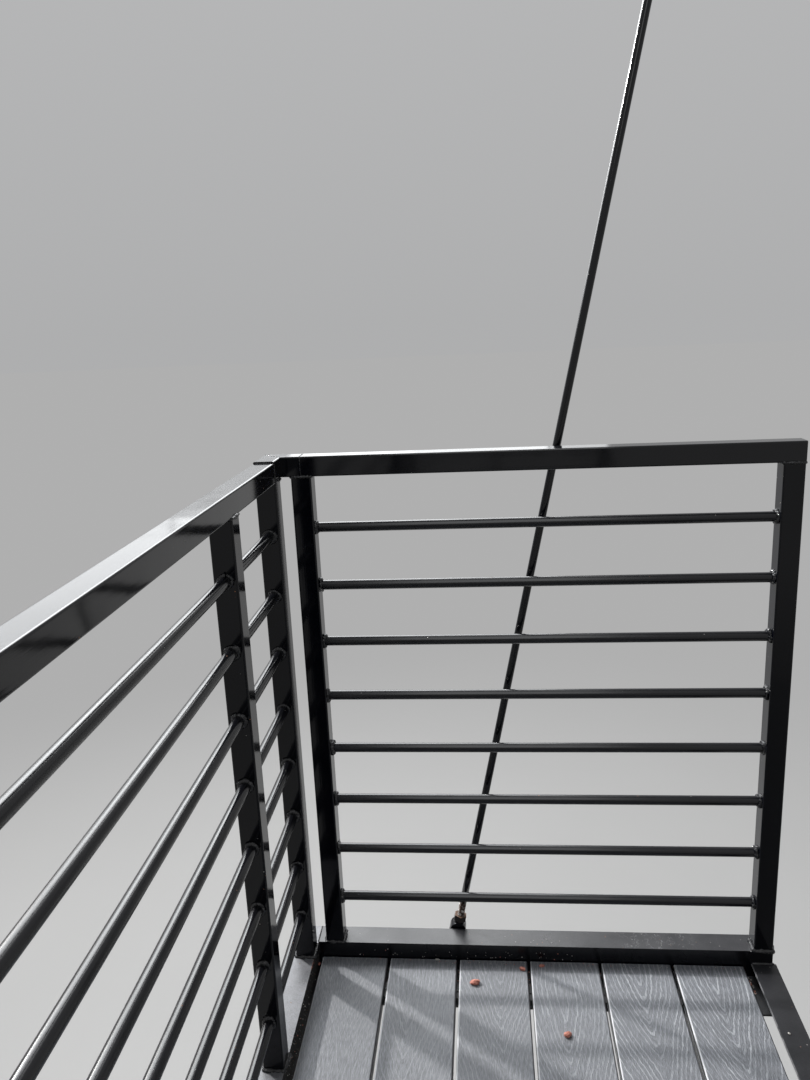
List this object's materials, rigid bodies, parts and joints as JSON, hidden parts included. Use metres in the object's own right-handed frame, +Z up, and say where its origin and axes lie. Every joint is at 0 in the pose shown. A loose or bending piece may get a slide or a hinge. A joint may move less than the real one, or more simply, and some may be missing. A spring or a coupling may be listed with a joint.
{
  "type": "wall-hung fire escape landing",
  "caption": "Wall-hung steel landing with a board deck, guard panels of square tube and round bar on three sides, and two slanted tie rods up to wall plates.",
  "frame": {"origin": "middle of the wall angle's back, at the height of the walking surface", "axes": "+X along the wall, +Y into the wall, +Z up"},
  "size_m": [2.717, 0.991, 3.1169],
  "materials": {
    "black_paint": "gloss",
    "deck_board": "matte",
    "bare_steel": "dull"
  },
  "bodies": {
    "root": {"wall_angle": "black_paint", "outer_channel": "black_paint", "far_end_channel": "black_paint", "near_end_channel": "black_paint", "joist_1": "black_paint", "joist_2": "black_paint", "joist_3": "black_paint", "joist_4": "black_paint", "joist_5": "black_paint", "far_deck_ledge": "black_paint", "near_deck_ledge": "black_paint", "deck_board_1": "deck_board", "deck_board_2": "deck_board", "deck_board_3": "deck_board", "deck_board_4": "deck_board", "deck_board_5": "deck_board", "deck_board_6": "deck_board", "deck_clips_1": "black_paint", "deck_clips_2": "black_paint", "deck_clips_3": "black_paint", "deck_clips_4": "black_paint", "deck_clips_5": "black_paint", "far_wall_post": "black_paint", "far_outer_post": "black_paint", "far_top_rail": "black_paint", "far_bars": "black_paint", "near_wall_post": "black_paint", "near_outer_post": "black_paint", "near_top_rail": "black_paint", "near_bars": "black_paint", "far_corner_post": "black_paint", "far_middle_post": "black_paint", "near_middle_post": "black_paint", "near_corner_post": "black_paint", "side_top_rail": "black_paint", "far_short_bars": "black_paint", "long_bars": "black_paint", "near_short_bars": "black_paint", "far_corner_return": "black_paint", "near_corner_return": "black_paint", "far_tie_rod": "black_paint", "far_lower_clevis": "black_paint", "far_upper_clevis": "black_paint", "far_clevis_lug": "black_paint", "far_wall_plate": "black_paint", "near_tie_rod": "black_paint", "near_lower_clevis": "black_paint", "near_upper_clevis": "black_paint", "near_clevis_lug": "black_paint", "near_wall_plate": "black_paint", "far_pins": "bare_steel", "near_pins": "bare_steel", "far_nuts": "bare_steel", "near_nuts": "bare_steel"}
  },
  "joints": []
}
